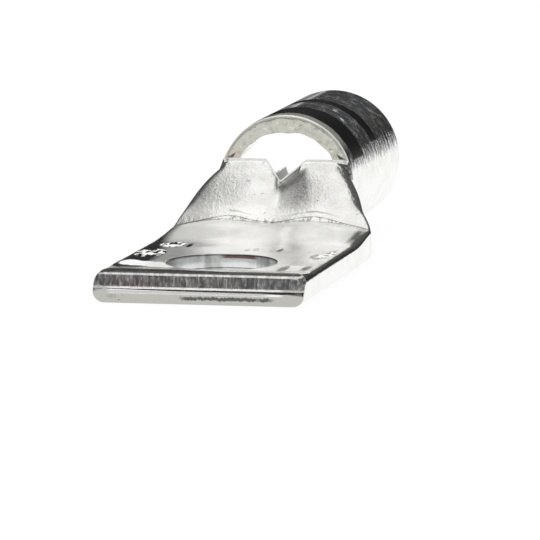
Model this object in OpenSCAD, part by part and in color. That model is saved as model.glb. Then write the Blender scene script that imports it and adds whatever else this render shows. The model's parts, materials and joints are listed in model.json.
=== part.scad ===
// One-hole compression lug, pressed and pierced from a single length of round tube.
// X runs across the palm, Y along the tube towards the wire, Z up from the palm's underside.
// The origin is the centre of the stud hole on the underside.

/* [Barrel] */
// Outside diameter of the round barrel
barrel_d = 14; // [11:0.5:18]
// Wall of the tube
wall = 1.55; // [1:0.05:2]
// Length of the closed round barrel behind the window
barrel_len = 22; // [14:1:40]
// Chamfer that leads the conductor into the bore
entry_chamfer = 0.4; // [0.1:0.1:0.8]

/* [Palm] */
// Width of the palm
palm_w = 21; // [17:0.5:26]
// Rounding of the palm's long edges
palm_edge_r = 1.15; // [0.5:0.05:1.4]
// Gap left between the two pressed plies
ply_gap = 0.1; // [0.06:0.02:0.2]
// Diameter of the stud hole
hole_d = 10.9; // [6:0.1:13.6]
// Front edge to the centre of the stud hole
hole_to_front = 9.5; // [8:0.5:14]
// Centre of the stud hole to the crease where the neck starts to rise
hole_to_crease = 20.3; // [17:0.1:30]
// Length in front of the crease over which the upper ply lifts
lift_len = 12; // [6:0.2:13]
// Length in front of the crease over which the palm narrows
narrow_len = 6; // [2:0.5:8]
// Amount by which each side of the palm has narrowed at the crease
side_narrow = 0.1; // [0:0.05:0.8]
// Rounding of the palm's upper edges at the crease
crease_edge_r = 0.4; // [0.2:0.05:1.1]
// Drop of the roll-over that the shear leaves on the front's upper edge
roll_drop = 0.4; // [0.1:0.05:1]
// Length of that roll-over along the palm
roll_back = 1.6; // [0.2:0.1:1.8]
// Set-back of the upper ply's sheared face below the roll-over
front_lean = 0.2; // [0:0.05:0.4]

/* [Neck] */
// Crease to the sheared edge of the window
neck_len = 6.7; // [5:0.1:12]
// Depth of the window below the top of the barrel
window_depth = 4.7; // [3:0.1:5.8]
// Swell of each flank beyond a straight taper
flank_swell = 0.6; // [0:0.05:1.2]
// Lift of the palm's edges at the crease
edge_lift = 0.05; // [0:0.05:0.8]
// Height of the two lobes above the edges at the crease
lobe_h = 1.1; // [0:0.1:1.6]
// Depth of the saddle between the lobes at the crease
saddle_depth = 0.55; // [0:0.05:1]
// Half width of that saddle
saddle_half_w = 3.6; // [2:0.1:5]
// Depth of the V groove at the window's edge
groove_depth = 2.25; // [0.5:0.05:2.8]
// Half width of the V groove at the window's edge
groove_half_w = 2.05; // [1.5:0.05:3]
// Height of the wave that rounds the neck's face over towards the window
face_wave = 0.35; // [0:0.05:0.6]
// Reach of the rounded fold between the neck's face and each flank
fold_reach = 1; // [0.5:0.1:3]

/* [Hidden] */

// Facets round the barrel and the stud hole
$fn = 96;

// Heights and lengths that follow from the sizes above
palm_t = 2 * wall + ply_gap;
barrel_r = barrel_d / 2;
cut_z = barrel_d - window_depth;
side_r = min(palm_edge_r, 0.48 * palm_t);
y_front = -hole_to_front;
y_crease = hole_to_crease;
y_lift = y_crease - lift_len;
y_narrow = y_crease - narrow_len;
y_window = y_crease + neck_len;
y_end = y_window + barrel_len;

// The neck's end faces stay this far inside the skins that they join
skin = 0.02;
// Share of the lift over which its slope sets in
lift_soft = 0.12;
// Steps round the front's roll-over, along the lifting ply and along the neck
roll_steps = 8;
lift_steps = 8;
neck_steps = 12;
// Points round each corner, along the underside and across the top of a section
corner_n = 6;
under_n = 8;
top_n = 36;
// Angles on the barrel that the side, the lower corner and the underside run to
side_deg = -10;
low_deg = -45;
// Share by which the groove widens from the window to the crease
groove_spread = 0.9;
// Powers that shape the groove's depth, the lobes and the flat stretch of the neck's face
groove_power = 1.6;
lobe_power = 2.5;
wave_power = 6;
// Softness of the groove's bottom and brows at the window and towards the crease
soft_edge = 0.03;
soft_fold = 0.35;
over = 1;

function clamp(v) = max(0, min(1, v));
function smooth(v) = let (c = clamp(v)) c * c * (3 - 2 * c);
function mix(a, b, t) = a + (b - a) * t;
function ramp(v, soft) = (v + sqrt(v * v + soft * soft)) / 2;

// How far a section lies along the neck, the lifting ply and the narrowing palm, each 0 to 1
function along_neck(y) = clamp((y - y_crease) / neck_len);
function along_lift(y) =
    let (v = clamp((y - y_lift) / lift_len), half = lift_soft / 2)
    (v < lift_soft ? v * v / (2 * lift_soft) : v - half) / (1 - half);
function along_narrow(y) = smooth((y - y_narrow) / narrow_len);

// Stretch in X that swells the flanks, most beyond the middle of the neck
function swell(s, half) =
    1 + flank_swell * 4 * s * (1 - s) * (0.5 + s) / mix(half, barrel_r, s);

// Corner arc of the flat section, centred on [x, z]
function arc(x, z, r, a0, a1, n) =
    [for (i = [0 : n - 1]) let (a = mix(a0, a1, i / (n - 1))) [x + r * cos(a), z + r * sin(a)]];

// Right half of the flat section, from its upper corner to the middle of the underside
function flat_half(half, low, high, upper_r, r) = concat(
    arc(half - upper_r, high - upper_r, upper_r, 90, 0, corner_n),
    arc(half - r, low + r, r, 0, -90, corner_n),
    [for (i = [1 : under_n]) [(half - r) * (1 - i / under_n), low]]);

// The same points on the round section, from the window's tip to the bottom
function round_half(r, tip_deg) = concat(
    [for (i = [0 : corner_n - 1]) mix(tip_deg, side_deg, i / (corner_n - 1))],
    [for (i = [1 : corner_n]) mix(side_deg, low_deg, i / corner_n)],
    [for (i = [1 : under_n]) mix(low_deg, -90, i / under_n)]);

// Right half of a section's side and underside. depth is measured in from the outer skin.
function cup_half(y, depth) =
    let (
        s = along_neck(y),
        half = palm_w / 2 - side_narrow * along_narrow(y),
        r = barrel_r - depth,
        upper = max(0.01, mix(side_r, crease_edge_r, along_narrow(y)) - depth),
        edge = max(0.01, side_r - depth),
        flat = flat_half(half - depth, depth, palm_t - depth, upper, edge),
        degs = round_half(r, asin((cut_z - depth - barrel_r) / r)),
        lift = edge_lift * along_lift(y) * (1 - s),
        wide = swell(s, half)
    )
    [for (i = [0 : len(flat) - 1])
        let (up = i < corner_n ? lift * mix(1, 0.4, i / (corner_n - 1)) : 0)
        [
            wide * mix(flat[i][0], r * cos(degs[i]), s),
            mix(flat[i][1], barrel_r + r * sin(degs[i]), s) + up
        ]];

// Height of a section's top at x, below the line between its tips where the groove runs
function top_z(x, tip, y, depth) =
    let (
        s = along_neck(y),
        q = abs(x / tip[0]),
        pressed = along_lift(y) * (1 - s),
        lobe = lobe_h * pressed * (1 - pow(q, lobe_power)),
        saddle = saddle_depth * pressed * exp(-pow(x / saddle_half_w, 2)),
        deep = groove_depth * pow(s, groove_power),
        half = groove_half_w * (1 + groove_spread * (1 - s)),
        slope = max(0.001, deep / half),
        // The inner skin runs parallel to the outer one, round the fold's bottom
        extra = depth * (sqrt(1 + slope * slope) - 1),
        fold = soft_fold * (1 - s) + extra / slope,
        groove = (deep + extra) * ramp(1 - norm([x, fold]) * slope / (deep + extra), soft_edge + soft_fold * (1 - s)),
        wave = face_wave * sin(360 * s) * (1 - pow(q, wave_power))
    )
    tip[1] + lobe - saddle - (s > 0 ? groove : 0) - wave;

function mirrored(points) = [for (i = [len(points) - 1 : -1 : 0]) [-points[i][0], points[i][1]]];
function tail(points) = [for (i = [1 : len(points) - 1]) points[i]];

// Share of the fold's rounding: it grows along the neck and ends at the sheared edge
function fold_share(y) = y < y_window - 0.1 ? smooth((along_neck(y) - 0.05) / 0.45) : 0;

// An outline with both folds rounded. A point within reach of a tip moves along the change of
// direction at that tip, by the square of how close it is.
function folded(points, y) =
    let (
        tip = points[0],
        face = points[len(points) - 4],
        flank = points[2],
        turn = (flank - tip) / norm(flank - tip) - (tip - face) / norm(tip - face)
    )
    [for (p = points)
        let (
            far = norm([abs(p[0]) - tip[0], p[1] - tip[1]]),
            close = max(0, 1 - far / fold_reach) / 2,
            move = fold_share(y) * fold_reach * close * close * turn
        )
        [p[0] + sign(p[0]) * move[0], p[1] + move[1]]];

// Closed outline of the section at y: right tip, underside, left tip and back over the top
function section(y, depth) =
    let (
        right = cup_half(y, depth),
        tip = right[0],
        across = [for (i = [1 : top_n - 1])
            let (x = tip[0] * (2 * i / top_n - 1)) [x, top_z(x, tip, y, depth)]]
    )
    concat(right, tail(mirrored(right)), across);

// Rounded bar section of the palm, as exact arcs
module palm_outline() {
    reach = palm_w / 2 - side_r;
    translate([-reach, 0]) square([2 * reach, palm_t]);
    translate([-palm_w / 2, side_r]) square([palm_w, palm_t - 2 * side_r]);
    for (x = [-reach, reach], z = [side_r, palm_t - side_r])
        translate([x, z]) circle(side_r);
}

// Side view of what the shear's roll-over takes off the front's upper edge
module roll_over_outline() {
    face_y = y_front + front_lean;
    round = [for (i = [0 : roll_steps])
        let (a = 90 * i / roll_steps)
        [face_y + roll_back * (1 - sin(a)), palm_t - roll_drop * (1 - cos(a))]];
    polygon(concat(
        [[y_front - over, palm_t + over], [face_y + roll_back, palm_t + over]],
        round,
        [[y_front, wall + ply_gap], [y_front - over, wall + ply_gap]]));
}

// Flat palm: two plies with the pressed seam between them
module palm() {
    seam_half = palm_w / 2 - wall;
    difference() {
        translate([0, y_lift, 0]) rotate([90, 0, 0])
            linear_extrude(y_lift - y_front) difference() {
                palm_outline();
                translate([-seam_half, wall]) square([2 * seam_half, ply_gap]);
            }
        translate([-palm_w / 2 - over, 0, 0]) rotate([90, 0, 90])
            linear_extrude(palm_w + 2 * over) roll_over_outline();
    }
}

// Lifting ply, crease and M-shaped neck, lofted from the flat palm to the window
module neck() {
    ys = concat(
        [for (i = [0 : lift_steps - 1]) mix(y_lift, y_crease, i / lift_steps)],
        [for (i = [0 : neck_steps]) mix(y_crease, y_window, i / neck_steps)]);
    outer = [for (y = ys) folded(section(y, skin), y)];
    inner = [for (y = ys) section(y, wall - skin)];
    n = len(outer[0]);
    last = len(ys) - 1;
    points = concat(
        [for (k = [0 : last]) for (p = outer[k]) [p[0], ys[k], p[1]]],
        [for (k = [0 : last]) for (p = inner[k]) [p[0], ys[k], p[1]]]);
    base = n * (last + 1);
    // Each step along the loft closes both skins with triangles
    walls = [for (k = [0 : last - 1], i = [0 : n - 1])
        let (a = k * n + i, b = k * n + (i + 1) % n, c = b + n, d = a + n)
        each [
            [a, c, b], [a, d, c],
            [base + a, base + b, base + c], [base + a, base + c, base + d]
        ]];
    // The two ends join the outer skin to the inner one
    ends = [for (i = [0 : n - 1])
        let (j = (i + 1) % n, e = last * n)
        each [
            [i, base + j, base + i], [i, j, base + j],
            [e + i, base + e + j, e + j], [e + i, base + e + i, base + e + j]
        ]];
    polyhedron(points, concat(walls, ends), convexity = 8);
}

// Round barrel, open from the window to the conductor entry
module barrel() {
    bore_r = barrel_r - wall;
    translate([0, y_end, barrel_r]) rotate([90, 0, 0]) difference() {
        cylinder(r = barrel_r, h = barrel_len);
        translate([0, 0, -over]) cylinder(r = bore_r, h = barrel_len + 2 * over);
        translate([0, 0, -over])
            cylinder(r1 = bore_r + entry_chamfer + over, r2 = bore_r, h = entry_chamfer + over);
    }
}

module lug() {
    color("silver") difference() {
        union() {
            palm();
            neck();
            barrel();
        }
        translate([0, 0, -over]) cylinder(d = hole_d, h = palm_t + 2 * over);
    }
}

lug();
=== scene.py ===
"""Tinned copper compression lug on a white studio floor.

The lug is one pressed tube: a flat two-ply palm with a stud hole, a neck pressed into two
lobes and a V groove, a sheared window and a round barrel. Its skins are worked out here as
grids of points, in millimetres, and become one mesh in metres.
"""
import json

import bmesh
import bpy
import numpy as np
from mathutils import Matrix, Vector


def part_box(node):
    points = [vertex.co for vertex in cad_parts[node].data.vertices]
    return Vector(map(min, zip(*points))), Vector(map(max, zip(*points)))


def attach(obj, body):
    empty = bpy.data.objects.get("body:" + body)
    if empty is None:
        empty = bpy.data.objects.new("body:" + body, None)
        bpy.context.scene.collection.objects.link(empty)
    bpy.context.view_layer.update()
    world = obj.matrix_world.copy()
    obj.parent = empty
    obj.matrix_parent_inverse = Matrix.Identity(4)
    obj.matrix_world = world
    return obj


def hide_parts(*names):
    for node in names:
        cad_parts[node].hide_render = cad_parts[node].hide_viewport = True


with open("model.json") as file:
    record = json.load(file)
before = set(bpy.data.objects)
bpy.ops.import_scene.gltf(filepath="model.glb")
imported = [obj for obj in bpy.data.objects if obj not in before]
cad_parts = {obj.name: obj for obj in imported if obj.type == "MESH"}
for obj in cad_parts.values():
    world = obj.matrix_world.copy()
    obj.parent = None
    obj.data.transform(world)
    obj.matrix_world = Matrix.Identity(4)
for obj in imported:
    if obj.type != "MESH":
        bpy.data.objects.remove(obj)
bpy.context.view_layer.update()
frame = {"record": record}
MOUNTS = {mount["name"]: mount for mount in frame["record"]["mounts"]}
LOW, HIGH = [[v * 1000 for v in corner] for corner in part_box("lug")]

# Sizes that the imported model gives, in millimetres
PALM_W = HIGH[0] - LOW[0]
PALM_T = MOUNTS["stud_hole"]["dims"]["length_mm"]
HOLE_R = MOUNTS["stud_hole"]["dims"]["r_mm"]
BORE_R = MOUNTS["conductor_bore"]["dims"]["r_mm"]
Y_FRONT, Y_END = LOW[1], HIGH[1]

# Sizes of the press and shear tools, the same as in the part's source
WALL = 1.55
PALM_EDGE_R = 1.15
NECK_LEN = 6.7
Y_CREASE = 20.3
LIFT_LEN = 12.0
LIFT_SOFT = 0.12
NARROW_LEN = 6.0
SIDE_NARROW = 0.1
CREASE_EDGE_R = 0.4
WINDOW_DEPTH = 4.7
FLANK_SWELL = 0.6
EDGE_LIFT = 0.05
LOBE_H = 1.1
LOBE_POWER = 2.5
SADDLE_DEPTH = 0.55
SADDLE_HALF_W = 3.6
GROOVE_DEPTH = 2.25
GROOVE_HALF_W = 2.05
GROOVE_SPREAD = 0.9
GROOVE_POWER = 1.6
WAVE_POWER = 6
SOFT_EDGE = 0.03
SOFT_FOLD = 0.35
SIDE_DEG, LOW_DEG = -10.0, -45.0
ENTRY_CHAMFER = 0.4

BARREL_R = BORE_R + WALL
CUT_Z = 2 * BARREL_R - WINDOW_DEPTH
Y_WINDOW = Y_CREASE + NECK_LEN
Y_LIFT = Y_CREASE - LIFT_LEN
Y_NARROW = Y_CREASE - NARROW_LEN
FLAT_HALF = PALM_W / 2 - PALM_EDGE_R

# Angles at which the window's plane meets the barrel's skin and the bore
TIP_DEG = np.degrees(np.arcsin((CUT_Z - BARREL_R) / BARREL_R))
BORE_TIP_DEG = np.degrees(np.arcsin((CUT_Z - BARREL_R) / BORE_R))
INNER_TIP_DEG = np.degrees(np.arcsin((CUT_Z - WALL - BARREL_R) / BORE_R))

# Share of the top's half width at which the bore's wall meets the window's plane. The square
# round the stud hole has the same share, so that one set of columns serves both.
Q_BORE = np.cos(np.radians(BORE_TIP_DEG)) * BORE_R / (np.cos(np.radians(TIP_DEG)) * BARREL_R)
SQUARE = Q_BORE * FLAT_HALF

# Counts of steps on the skins
CORNER_N = 12
TOP_MID_N = 36
TOP_SIDE_N = 11
UNDER_SIDE_N = 6
BORE_SIDE_N = 6
ARCH_N = 112
HOLE_ROWS = 32

# The palm's upper corners are squared off by a power on their cosine and sine, from a distance
# behind the front and over a length
CORNER_POWER = 0.55
SQUARED_FROM, SQUARED_LEN = 1.0, 5.0

# Reach of the rounded fold between the neck's face and each flank, and how far it stands out,
# right and left
FOLD_REACH = 2.2
FOLD_OUT = (-0.5, 0.2)
# Points of the face and the flank that the fold may move, and those that give its directions
FACE_POINTS, FLANK_POINTS = TOP_SIDE_N + 8, CORNER_N + 3
FACE_STEP, FLANK_STEP = 6, 3
# The groove's sideways lean, the face's wave, and the edge's lift at the foot of its corner
GROOVE_LEAN = 0.32
FACE_WAVE = 0.22
EDGE_LIFT_LOW = 0.4

# Shear marks, burr and roll-over on the cut edges
ROLL_DROP = 0.4
ROLL_BACK = 1.6
ROLL_UNDER = 0.1
ROLL_LOW_Z, ROLL_HIGH_Z = 0.6, 3.0
FRONT_LEAN = 0.33
FRONT_LEAN_H = 1.8
SLIT_Z = 1.37
SLIT_TILT = -0.011
SLIT_LEFT, SLIT_RIGHT = -9.1, 8.6
SLIT_GAP = 0.04
SLIT_DEEP = 1.0
SLIT_LIP = 0.03
RIM_R = 0.15
ARCH_R = 0.3
ARCH_FALL = 0.05
ARCH_LIP = 0.3
LIP_MID_DEG, LIP_SPREAD_DEG = 92, 30
TIP_FADE_N = 9
BURR_H = 0.17
BURR_T = 0.11
REAR_EDGE_R = 0.25

# Steps out from the stud hole's radius: at the seam between the plies, on the lower ply and at
# its exit below, and on the upper ply where it is torn, from a depth and over a length
SEAM_DEEP = 0.5
LOWER_STEP = 0.03
EXIT_STEP = 0.12
TEAR_STEP, TEAR_FROM, TEAR_LEN = 0.04, 1.0, 0.6

# Share by which the palm is pressed thinner in its middle, and by how much more on its right,
# its share at the front, and where the pressed stretch starts and ends along Y
DISH = 0.125
DISH_TILT = 0.03
DISH_AT_FRONT = 0.3
DISH_START, DISH_FULL, DISH_EASE, DISH_END = -8.5, -4.0, 12.5, 20.0

# Lines that the die left across the crease: distance behind it, depth and width
DIE_LINES = ((-0.1, 0.1, 0.12), (-0.85, 0.07, 0.12), (-1.5, 0.03, 0.16))
# Dents in the palm's top and the neck's face: height, lengths of their waves and seed
DENTS = ((0.02, (5.2, 7.3, 9.1, 12.0), 3), (0.004, (1.7, 2.3, 2.9), 5))

# Points closer than this, in metres, are one, and edges steeper than this stay sharp
WELD_DISTANCE = 4e-7
SHARP_DEG = 38


def smooth(v):
    """Ease curve from 0 to 1: three times the square less twice the cube."""
    c = np.clip(v, 0, 1)
    return c * c * (3 - 2 * c)


def mix(a, b, t):
    """Straight mix: a where t is 0 and b where it is 1."""
    return a + (b - a) * t


def ramp(v, soft):
    """Positive part of v with a rounded corner."""
    return (v + np.sqrt(v * v + soft * soft)) / 2


def bell(v, width):
    """Bell curve, 1 at 0 and about a third at one width."""
    return np.exp(-((v / width) ** 2))


def along_neck(y):
    """Even rise from 0 at the crease to 1 at the window."""
    return np.clip((y - Y_CREASE) / NECK_LEN, 0, 1)


def along_lift(y):
    """Even rise from 0 to 1 with a soft start."""
    share = np.clip((y - Y_LIFT) / LIFT_LEN, 0, 1)
    half = LIFT_SOFT / 2
    return np.where(share < LIFT_SOFT, share ** 2 / (2 * LIFT_SOFT), share - half) / (1 - half)


def along_narrow(y):
    """Eased rise from 0 to 1 over the palm's last stretch before the crease."""
    return smooth((y - Y_NARROW) / NARROW_LEN)


def ripple(x, y, waves, seed):
    """Sum of slow waves in seeded directions, between about -1 and 1."""
    rng = np.random.default_rng(seed)
    total = 0
    for length in waves:
        turn, phase = rng.uniform(0, 2 * np.pi, 2)
        total = total + np.sin(2 * np.pi * (x * np.cos(turn) + y * np.sin(turn)) / length + phase)
    return total / len(waves)


def cup_half(y, depth, under):
    """Right half of a section's side and underside, from its upper tip to the middle.

    A rounded bar's outline, inset by depth, is mixed point by point with a circle's, by the
    section's place along the neck. The bar's upper corner is squared off behind the front, by a
    power on its cosine and sine, and sharpens towards the crease. The mix is widened by the
    flanks' swell. y is a column.
    """
    s = along_neck(y)
    half = PALM_W / 2 - SIDE_NARROW * along_narrow(y)
    r = BARREL_R - depth
    edge = max(0.01, min(PALM_EDGE_R - depth, PALM_T / 2 - depth))
    turn = np.linspace(0, 1, CORNER_N)
    step = np.arange(1, CORNER_N + 1) / CORNER_N
    upper, lower = np.radians(90 * (1 - turn)), np.radians(-90 * turn)
    corner = np.maximum(0.01, mix(PALM_EDGE_R, CREASE_EDGE_R, along_narrow(y)) - depth)
    power = mix(1, CORNER_POWER, smooth((y - Y_FRONT - SQUARED_FROM) / SQUARED_LEN) * (1 - along_narrow(y)))
    centre = half - depth - edge
    flat_x = np.concatenate([
        half - depth - corner * (1 - np.cos(upper) ** power),
        centre + edge * np.cos(lower),
        centre * (1 - under)], axis=1)
    bottom = 0 * half + depth
    flat_z = np.concatenate([
        PALM_T - depth - corner * (1 - np.sin(upper) ** power),
        bottom + edge + edge * np.sin(lower),
        bottom + 0 * under], axis=1)
    tip = np.degrees(np.arcsin((CUT_Z - depth - BARREL_R) / r))
    degs = np.radians(np.concatenate([
        mix(tip, SIDE_DEG, turn), mix(SIDE_DEG, LOW_DEG, step), mix(LOW_DEG, -90, under)]))
    swell = 1 + FLANK_SWELL * 4 * s * (1 - s) * (0.5 + s) / mix(half, BARREL_R, s)
    lift = np.zeros(len(degs))
    lift[:CORNER_N] = mix(1, EDGE_LIFT_LOW, turn)
    x = swell * mix(flat_x, r * np.cos(degs), s)
    z = mix(flat_z, BARREL_R + r * np.sin(degs), s) + EDGE_LIFT * along_lift(y) * (1 - s) * lift
    return x, z


def cup(y, depth, under):
    """Side and underside of sections: the right half and its mirror image, as x and z."""
    x, z = cup_half(y, depth, under)
    return np.concatenate([x, -x[:, -2::-1]], axis=1), np.concatenate([z, z[:, -2::-1]], axis=1)


def top_z(x, tip_x, tip_z, y, depth):
    """Height of a section's top at x: two lobes less a saddle, the V groove and a wave."""
    s = along_neck(y)
    q = np.abs(x / tip_x)
    # The groove's bottom leans to the left near the window
    lean = GROOVE_LEAN * s ** 3
    off = x + lean * GROOVE_HALF_W
    off = off / (1 + lean * np.sign(off))
    pressed = along_lift(y) * (1 - s)
    lobe = LOBE_H * pressed * (1 - q ** LOBE_POWER)
    saddle = SADDLE_DEPTH * pressed * bell(x, SADDLE_HALF_W)
    deep = GROOVE_DEPTH * s ** GROOVE_POWER
    half = GROOVE_HALF_W * (1 + GROOVE_SPREAD * (1 - s))
    slope = np.maximum(0.001, deep / half)
    extra = depth * (np.sqrt(1 + slope * slope) - 1)
    fold = SOFT_FOLD * (1 - s) + extra / slope
    reach = 1 - np.hypot(off, fold) * slope / np.maximum(deep + extra, 1e-6)
    groove = (deep + extra) * ramp(reach, SOFT_EDGE + SOFT_FOLD * (1 - s)) * (s > 0)
    groove = groove * smooth((Q_BORE - 0.02 - q) / 0.25)
    wave = FACE_WAVE * np.sin(2 * np.pi * s) * (1 - q ** WAVE_POWER)
    return tip_z + lobe - saddle - groove - wave


def loops(y, depth, under, across):
    """Closed outlines of the sections at the column y, as x and z, clockwise seen along +Y.

    across holds the top's columns from the left tip to the right one, as shares of the tip.
    """
    x, z = cup(y, depth, under)
    tip_x, tip_z = x[:, :1], z[:, :1]
    top_x = tip_x * across[1:-1]
    return (np.concatenate([x, top_x], axis=1),
            np.concatenate([z, top_z(top_x, tip_x, tip_z, y, depth)], axis=1))


def columns(side_n, mid_n):
    """Shares from -1 to 1 with steps that break at the bore's wall."""
    right = np.linspace(Q_BORE, 1, side_n + 1)
    return np.concatenate([-right[::-1], np.linspace(-Q_BORE, Q_BORE, mid_n + 1)[1:-1], right])


ACROSS = columns(TOP_SIDE_N, 2 * TOP_MID_N)
UNDER = np.concatenate([
    np.linspace(0, 1 - Q_BORE, UNDER_SIDE_N + 1)[1:], np.linspace(1 - Q_BORE, 1, TOP_MID_N + 1)[1:]])
UNDER_IN = np.arange(1, len(UNDER) - BORE_SIDE_N + 1) / (len(UNDER) - BORE_SIDE_N)
CUP_N = 2 * (2 * CORNER_N + len(UNDER)) - 1
CUP_IN_N = 2 * (2 * CORNER_N + len(UNDER_IN)) - 1

patches = []


def grid_quads(index):
    """Corners of a grid's quads, one quad per pair of neighbouring rows and columns."""
    corners = [index[:-1, :-1], index[:-1, 1:], index[1:, 1:], index[1:, :-1]]
    return np.stack(corners, axis=-1)


def patch(x, y, z, closed=False, flip=False, keep=None, cut=False):
    """Adds a grid of points as quads. Rows run along the first axis, and closed joins their ends."""
    x, y, z = np.broadcast_arrays(x, y, z)
    index = np.arange(x.size).reshape(x.shape)
    if closed:
        index = np.concatenate([index, index[:, :1]], axis=1)
    quads = grid_quads(index)
    quads = quads.reshape(-1, 4) if keep is None else quads[keep]
    points = np.stack([x, y, z], axis=-1).reshape(-1, 3)
    patches.append((points, quads[:, ::-1] if flip else quads, cut))


def cap(x, y, z, flip=False):
    """Closes a loop with one flat face."""
    x, y, z = np.broadcast_arrays(x, y, z)
    order = np.arange(x.size)
    patches.append((np.stack([x, y, z], axis=-1), [order[::-1] if flip else order], True))


def outline_normals(x, z):
    """Unit normals that point into a clockwise closed outline, from its central differences."""
    dx, dz = np.roll(x, -1) - np.roll(x, 1), np.roll(z, -1) - np.roll(z, 1)
    size = np.hypot(dx, dz)
    return dz / size, -dx / size


def palm_relief(x, y):
    """Height added to the palm's top and the neck's face: dents less the unevenly worn die lines."""
    total = sum(height * ripple(x, y, waves, seed) for height, waves, seed in DENTS)
    worn = 0.6 + 0.4 * ripple(x, 0 * y, (2.1, 3.7, 6.3), 11)
    for offset, depth, width in DIE_LINES:
        total = total - depth * worn * bell(y - Y_CREASE - offset - 0.12 * np.sin(x * 0.7), width)
    return total


def skin_rows():
    """Places of the outer skin's rows along Y, closest at the front, the crease and the window."""
    front = Y_FRONT + np.array([0, 0.12, 0.28, 0.5, 0.8, 1.2, 1.7, 2.1])
    square = np.linspace(-SQUARE, SQUARE, HOLE_ROWS + 1)
    lift = np.linspace(SQUARE, Y_CREASE - 1.9, 42)[1:]
    crease = np.arange(Y_CREASE - 1.8, Y_CREASE + 0.75, 0.075)
    neck = np.linspace(Y_CREASE + 0.8, Y_WINDOW - 0.25, 46)
    edge = Y_WINDOW - np.array([0.19, 0.15, BURR_T + 0.012, BURR_T - 0.003, 0.055, 0])
    return np.concatenate([front, square, lift, crease, neck, edge])


def front_roll(x, z):
    """Drop and set-back of the roll-over round the sheared front, large on top, small underneath."""
    uneven = 1 + 0.1 * ripple(x, 0 * x, (2.3, 4.1, 7.7), 21)
    share = smooth((z - ROLL_LOW_Z) / (ROLL_HIGH_Z - ROLL_LOW_Z))
    return mix(ROLL_UNDER, ROLL_DROP, share) * uneven, mix(ROLL_UNDER, ROLL_BACK, share ** 2) * uneven


def slit_z(x):
    """Height of the slit between the plies, which is a little lower on the right."""
    return SLIT_Z + SLIT_TILT * x


def front_lean(x, z):
    """How far the upper ply's sheared face leans back above the slit."""
    above = np.clip((z - slit_z(x)) / FRONT_LEAN_H, 0, 1)
    return FRONT_LEAN * above * (1 + 0.1 * ripple(x, 0 * x, (1.3, 2.9, 5.3), 23))


def burr(share):
    """Height of the burr that stands along the pressed edge, by share from -1 to 1 of the tip."""
    return BURR_H * (1 - np.abs(share) ** 12) * (1 - 0.6 * bell(share - 0.16, 0.13))


def folded(x, z, y):
    """Rounds the fold between the neck's face and each flank.

    A point within the fold's reach of a tip, along the face or down the flank, moves by the
    reach times its squared share, a half at the tip, along the change of direction at the tip.
    """
    weight = smooth((along_neck(y) - 0.05) / 0.45) * (1 - smooth((y - Y_WINDOW + 0.3) / 0.27))
    n, far = x.shape[1], CUP_N - 1
    out = np.where(x > 0, FOLD_OUT[0], -FOLD_OUT[1])
    x, z = x + out * weight * smooth(np.abs(x) / 8), z.copy()
    face_n, flank_n = np.arange(FACE_POINTS), np.arange(FLANK_POINTS)
    for face, flank in (((n - face_n) % n, flank_n), (far + face_n, far - flank_n)):
        legs = []
        for leg in (face, flank):
            span = np.hypot(np.diff(x[:, leg]), np.diff(z[:, leg]))
            legs.append(np.concatenate([0 * span[:, :1], np.cumsum(span, axis=1)], axis=1))
        turn = []
        for v in (x, z):
            ahead = (v[:, face[0]] - v[:, face[FACE_STEP]]) / legs[0][:, FACE_STEP]
            down = (v[:, flank[FLANK_STEP]] - v[:, flank[0]]) / legs[1][:, FLANK_STEP]
            turn.append((down - ahead)[:, None])
        for leg, far_off, first in ((face, legs[0], 0), (flank, legs[1], 1)):
            share = np.clip((FOLD_REACH - far_off) / (2 * FOLD_REACH), 0, 0.5)
            move = weight * FOLD_REACH * share ** 2
            x[:, leg[first:]] += (move * turn[0])[:, first:]
            z[:, leg[first:]] += (move * turn[1])[:, first:]
    return x, z


def edge_roll(distance, radius):
    """Drop of a quarter-round edge at a distance in from it, by the circle's equation."""
    inside = np.clip(radius - distance, 0, radius)
    return radius - np.sqrt(radius * radius - inside * inside)


def relief(x, y, q):
    """Relief of the top, faded out at its tips and at the window."""
    return palm_relief(x, y) * (1 - np.abs(q) ** 8) * (1 - smooth((y - Y_WINDOW + 1.2) / 1.2))


def outer_skin():
    """Palm and neck: the sections' outlines carried from the front to the window.

    The top adds its relief, and the burr on its last rows. A square is left out round each end
    of the stud hole.
    """
    rows = skin_rows()
    y = rows[:, None]
    x, z = loops(y, 0, UNDER, ACROSS)
    top = slice(CUP_N, None)
    shares = ACROSS[1:-1][None, :]
    z[:, top] += relief(x[:, top], y, shares)
    x, z = folded(x, z, y)
    z[:, top] += burr(shares) * (y > Y_WINDOW - BURR_T)
    # The front edge is rolled back, and the rows in front of the hole close up
    back = front_roll(x[0], z[0])[1] + front_lean(x[0], z[0])
    y = y + back[None, :] * np.clip(1 - (y - Y_FRONT) / (-SQUARE - Y_FRONT), 0, 1)
    keep = np.ones((len(rows) - 1, x.shape[1]), bool)
    first = np.searchsorted(rows, -SQUARE - 1e-9)
    hole = slice(first, first + HOLE_ROWS)
    middle = CUP_N - 1 + TOP_SIDE_N
    keep[hole, middle:middle + 2 * TOP_MID_N] = False
    start = 2 * CORNER_N - 1 + UNDER_SIDE_N
    keep[hole, start:CUP_N - 1 - start] = False
    patch(x, y, z, closed=True, keep=keep)
    return x, z


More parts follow.
